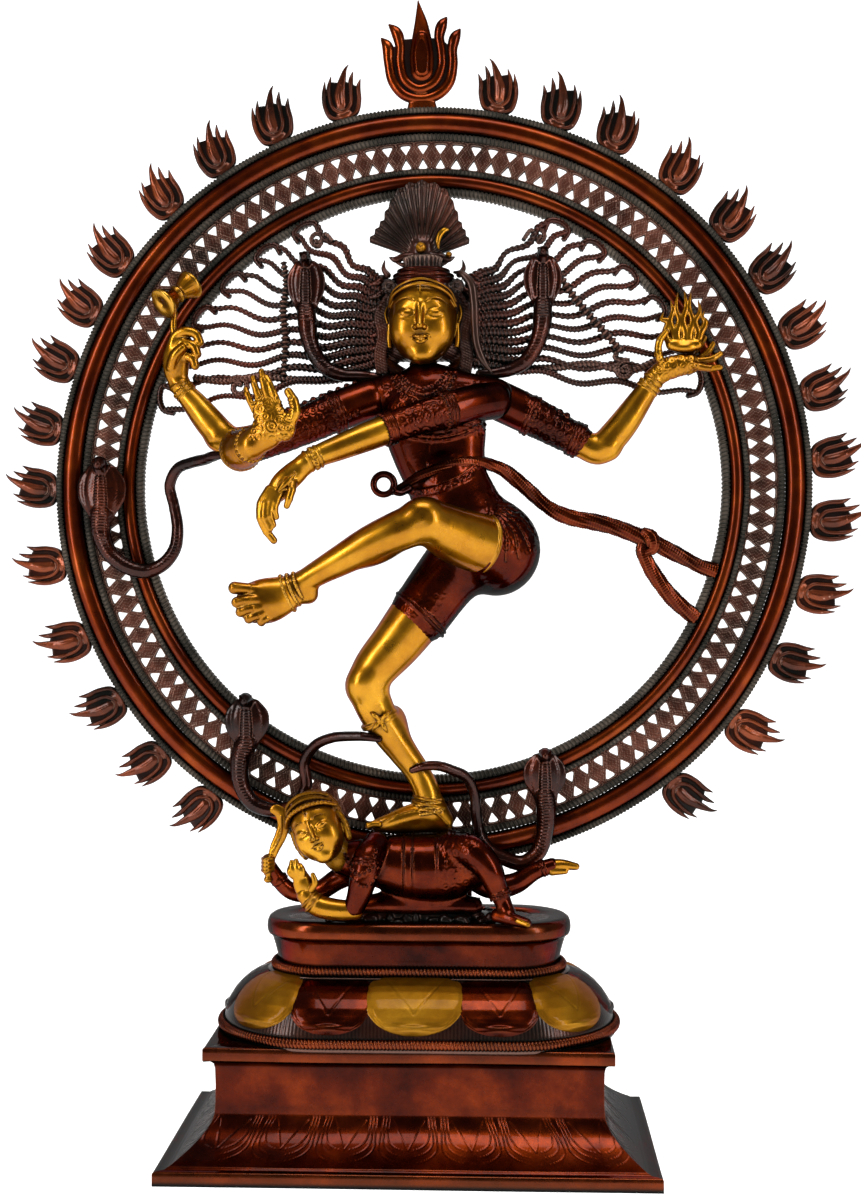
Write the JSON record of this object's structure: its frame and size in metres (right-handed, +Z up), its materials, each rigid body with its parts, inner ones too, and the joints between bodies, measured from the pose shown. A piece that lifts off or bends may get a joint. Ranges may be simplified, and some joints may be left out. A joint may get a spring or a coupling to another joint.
{
  "type": "statue",
  "caption": "Cast brass dancer in a flame-edged ring with a pierced band, on a dwarf, a lotus pedestal and a stacked rectangular base.",
  "frame": {"origin": "centre of the ring in plan, at the level the base stands on", "axes": "+Z up, the front of the statue faces -Y, +X to the right in the front view"},
  "size_m": [0.813, 0.24, 1.0673],
  "materials": {
    "brown_patina": "polished",
    "dark_patina": "satin",
    "polished_brass": "polished",
    "fastener_steel": "satin"
  },
  "bodies": {
    "pedestal": {"base_plinth": "brown_patina"},
    "icon": {"lotus_pedestal": "brown_patina", "upper_drum": "brown_patina", "pedestal_bolts": "fastener_steel", "pedestal_washers": "fastener_steel", "aureole_foot": "brown_patina", "aureole_outer_rail": "brown_patina", "aureole_lattice": "dark_patina", "aureole_inner_rail": "brown_patina", "finial_flame": "brown_patina", "torso": "brown_patina", "head": "polished_brass", "crown_fan": "dark_patina", "hair_left": "dark_patina", "hair_right": "dark_patina", "front_right_arm": "polished_brass", "front_left_arm": "polished_brass", "rear_right_arm": "polished_brass", "rear_left_arm": "polished_brass", "hand_drum": "polished_brass", "palm_flame": "polished_brass", "raised_leg": "polished_brass", "standing_leg": "polished_brass", "waist_sash": "brown_patina", "hair_cobra_left": "dark_patina", "hair_cobra_right": "dark_patina", "arm_cobra": "brown_patina", "leg_cobra_left": "dark_patina", "leg_cobra_right": "dark_patina", "dwarf_body": "brown_patina", "dwarf_head": "polished_brass", "dwarf_sword": "polished_brass", "flame_l01": "brown_patina", "flame_l02": "brown_patina", "flame_l03": "brown_patina", "flame_l04": "brown_patina", "flame_l05": "brown_patina", "flame_l06": "brown_patina", "flame_l07": "brown_patina", "flame_l08": "brown_patina", "flame_l09": "brown_patina", "flame_l10": "brown_patina", "flame_l11": "brown_patina", "flame_l12": "brown_patina", "flame_l13": "brown_patina", "flame_l14": "brown_patina", "flame_r01": "brown_patina", "flame_r02": "brown_patina", "flame_r03": "brown_patina", "flame_r04": "brown_patina", "flame_r05": "brown_patina", "flame_r06": "brown_patina", "flame_r07": "brown_patina", "flame_r08": "brown_patina", "flame_r09": "brown_patina", "flame_r10": "brown_patina", "flame_r11": "brown_patina", "flame_r12": "brown_patina", "flame_r13": "brown_patina", "flame_r14": "brown_patina"}
  },
  "joints": [
    {"name": "icon_lift", "type": "slide", "parent": "pedestal", "child": "icon", "axis": [0, 0, 1], "range_m": [0, 0.06]}
  ]
}
